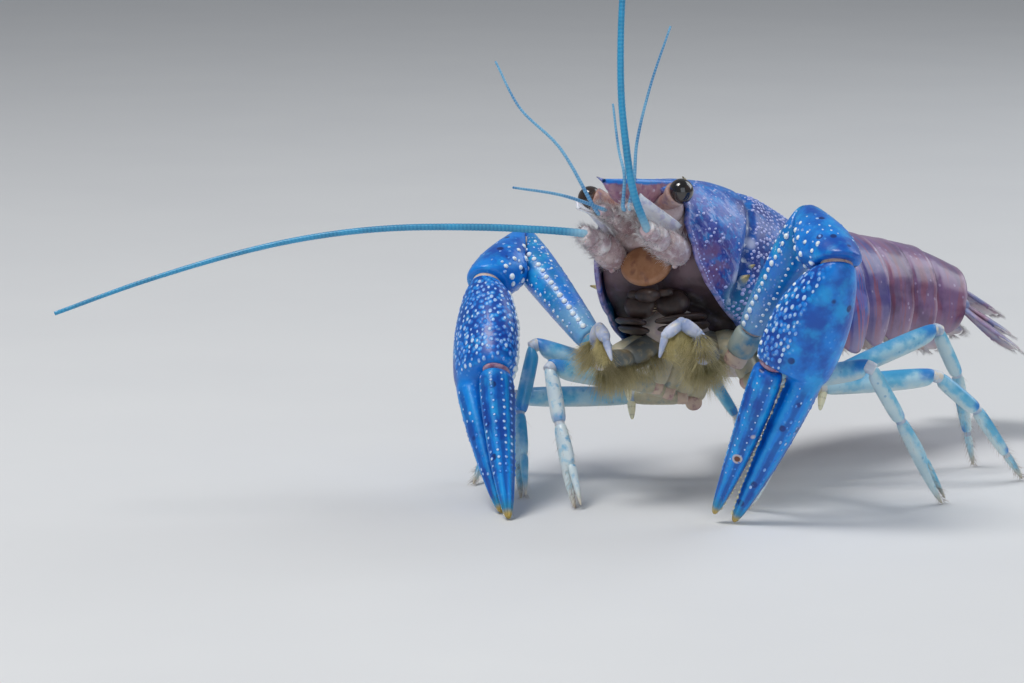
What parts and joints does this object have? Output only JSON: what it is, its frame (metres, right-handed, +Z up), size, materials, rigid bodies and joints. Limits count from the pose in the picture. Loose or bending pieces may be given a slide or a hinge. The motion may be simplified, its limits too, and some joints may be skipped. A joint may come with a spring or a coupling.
{
  "type": "blue everglades crayfish, still life-size model",
  "caption": "Adult blue Everglades crayfish standing with both long claws lowered to the floor, one feeler raised and one swept forward.",
  "frame": {"origin": "on the floor, under the middle of the whole animal's bounding box", "axes": "+Z up; the animal faces -Y with its tail towards +Y, and its left side is towards +X"},
  "size_m": [0.0812, 0.1058, 0.0901],
  "materials": {
    "carapace": "satin blue shell with pale granules and wet highlights",
    "abdomen": "satin violet and maroon shell",
    "tail_fan": "translucent mauve blades with a pale fringe",
    "claw": "bright azure shell with white tubercles",
    "leg": "pale cyan shell with darker joints",
    "eye": "glossy black",
    "stalk": "pale orange and white",
    "feeler": "ringed teal blue",
    "mouthparts": "olive and cream, hairy"
  },
  "bodies": {
    "root": {"abdomen_1": "abdomen", "abdomen_2": "abdomen", "abdomen_3": "abdomen", "abdomen_4": "abdomen", "abdomen_5": "abdomen", "abdomen_6": "abdomen", "antenna_base_left": "mouthparts", "antenna_base_right": "mouthparts", "antenna_left": "feeler", "antenna_right": "feeler", "antenna_scale_left": "mouthparts", "antenna_scale_right": "mouthparts", "antennule_left": "mouthparts", "antennule_left_inner": "feeler", "antennule_left_outer": "feeler", "antennule_right": "mouthparts", "antennule_right_inner": "feeler", "antennule_right_outer": "feeler", "cephalothorax": "carapace", "claw_base_left": "claw", "claw_base_right": "claw", "claw_carpus_left": "claw", "claw_carpus_right": "claw", "claw_dactyl_left": "claw", "claw_dactyl_right": "claw", "claw_merus_left": "claw", "claw_merus_right": "claw", "claw_palm_left": "claw", "claw_palm_right": "claw", "eye_left": "eye", "eye_right": "eye", "eyestalk_left": "stalk", "eyestalk_right": "stalk", "leg_2_left_lower": "leg", "leg_2_left_upper": "leg", "leg_2_right_lower": "leg", "leg_2_right_upper": "leg", "leg_3_left_lower": "leg", "leg_3_left_upper": "leg", "leg_3_right_lower": "leg", "leg_3_right_upper": "leg", "leg_4_left_lower": "leg", "leg_4_left_upper": "leg", "leg_4_right_lower": "leg", "leg_4_right_upper": "leg", "leg_5_left_lower": "leg", "leg_5_left_upper": "leg", "leg_5_right_lower": "leg", "leg_5_right_upper": "leg", "maxilliped_left": "mouthparts", "maxilliped_right": "mouthparts", "telson": "tail_fan", "uropod_left_inner": "tail_fan", "uropod_left_outer": "tail_fan", "uropod_right_inner": "tail_fan", "uropod_right_outer": "tail_fan"}
  },
  "joints": []
}
